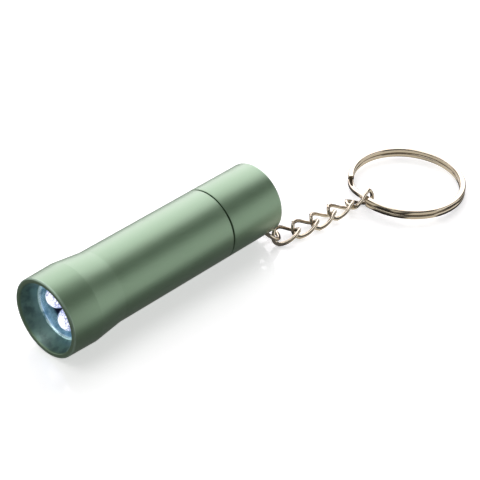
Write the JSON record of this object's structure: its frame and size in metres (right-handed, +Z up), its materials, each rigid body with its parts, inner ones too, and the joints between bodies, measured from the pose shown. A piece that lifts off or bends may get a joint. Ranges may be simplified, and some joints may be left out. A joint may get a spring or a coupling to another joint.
{
  "type": "keychain flashlight",
  "caption": "Pocket torch on its side: turned aluminium tube with a flared head, recessed LED cluster and screwed tail cap, hung on a short twisted chain with a flat split ring.",
  "frame": {"origin": "middle of the base of the bounding box, on the surface that the torch and its ring lie on", "axes": "+X from the lamp end to the split ring, along the torch in plan; +Z up; +Y to the left looking from lamp to tail"},
  "size_m": [0.1106, 0.0346, 0.0178],
  "materials": {
    "anodised": "satin bead-blasted green anodising",
    "bezel": "bright plated moulding",
    "led": "clear cast epoxy",
    "board": "solder mask",
    "brass": "turned",
    "seal": "matt moulded rubber",
    "moulding": "fine spark-eroded",
    "spring": "drawn wire",
    "sleeve": "thin extruded tube",
    "cell": "bright can",
    "nickel": "polished nickel plate"
  },
  "bodies": {
    "barrel": {"barrel": "anodised", "led_holder": "bezel", "led_1": "led", "led_2": "led", "led_3": "led", "led_board": "board", "front_contact": "brass", "o_ring": "seal"},
    "cells": {"battery_1": "cell", "battery_2": "cell", "battery_3": "cell", "battery_4": "cell", "battery_sleeve": "sleeve"},
    "tail_cap": {"tail_cap": "anodised", "tail_spring": "spring", "switch_contact": "brass", "switch_housing": "moulding", "switch_spring": "spring", "switch_cover": "moulding", "retaining_ring": "brass"},
    "button": {"push_button": "seal", "switch_plunger": "moulding"},
    "jump_ring": {"jump_ring": "nickel"},
    "chain_link_1": {"chain_link_1": "nickel"},
    "chain_link_2": {"chain_link_2": "nickel"},
    "chain_link_3": {"chain_link_3": "nickel"},
    "chain_link_4": {"chain_link_4": "nickel"},
    "chain_link_5": {"chain_link_5": "nickel"},
    "split_ring": {"split_ring": "nickel"}
  },
  "joints": [
    {"name": "cell_slide", "type": "slide", "parent": "barrel", "child": "cells", "axis": [1, 0, 0.0085], "range_m": [0, 0.00301]},
    {"name": "cap_unscrew", "type": "hinge", "parent": "cells", "child": "tail_cap", "pos_m": [-0.00727, 0.00839, 0.00925], "axis": [1, 0, 0.0085], "range_deg": [0, 1080]},
    {"name": "button_press", "type": "slide", "parent": "tail_cap", "child": "button", "axis": [-1, 0, -0.0085], "range_m": [0, 0.0012], "stiffness_N_per_m": 900, "springref_m": -0.0006, "deforming": ["switch_spring"]},
    {"name": "jump_ring_swing", "type": "hinge", "parent": "tail_cap", "child": "jump_ring", "pos_m": [0.00212, 0.00278, 0.00428], "axis": [0.0057, -0.7431, -0.6691], "range_deg": [-5, 20]},
    {"name": "link_1_swing", "type": "hinge", "parent": "jump_ring", "child": "chain_link_1", "pos_m": [0.00433, 0.00224, 0.00191], "axis": [0.0885, 0.2806, 0.9557], "range_deg": [-20, 10]},
    {"name": "link_2_swing", "type": "hinge", "parent": "chain_link_1", "child": "chain_link_2", "pos_m": [0.01071, 0.001, 0.00169], "axis": [0.1318, 0.788, -0.6014], "range_deg": [-25, 25]},
    {"name": "link_3_swing", "type": "hinge", "parent": "chain_link_2", "child": "chain_link_3", "pos_m": [0.01487, 0.00041, 0.00153], "axis": [0.042, 0.6003, 0.7986], "range_deg": [-25, 25]},
    {"name": "link_4_swing", "type": "hinge", "parent": "chain_link_3", "child": "chain_link_4", "pos_m": [0.02136, -0.00005, 0.00153], "axis": [0.038, 0.5433, -0.8387], "range_deg": [-25, 25]},
    {"name": "link_5_swing", "type": "hinge", "parent": "chain_link_4", "child": "chain_link_5", "pos_m": [0.02551, -0.00081, 0.00181], "axis": [0.2138, 0.9713, 0.104], "range_deg": [-15, 15]},
    {"name": "split_ring_swing", "type": "hinge", "parent": "chain_link_5", "child": "split_ring", "pos_m": [0.02947, -0.00172, 0.00221], "axis": [0.0248, -0.0044, 0.9997], "range_deg": [-15, 20]}
  ],
  "couplings": [
    {"joint": "cell_slide", "follows": "cap_unscrew", "m_per_rad": 0.00015915}
  ]
}
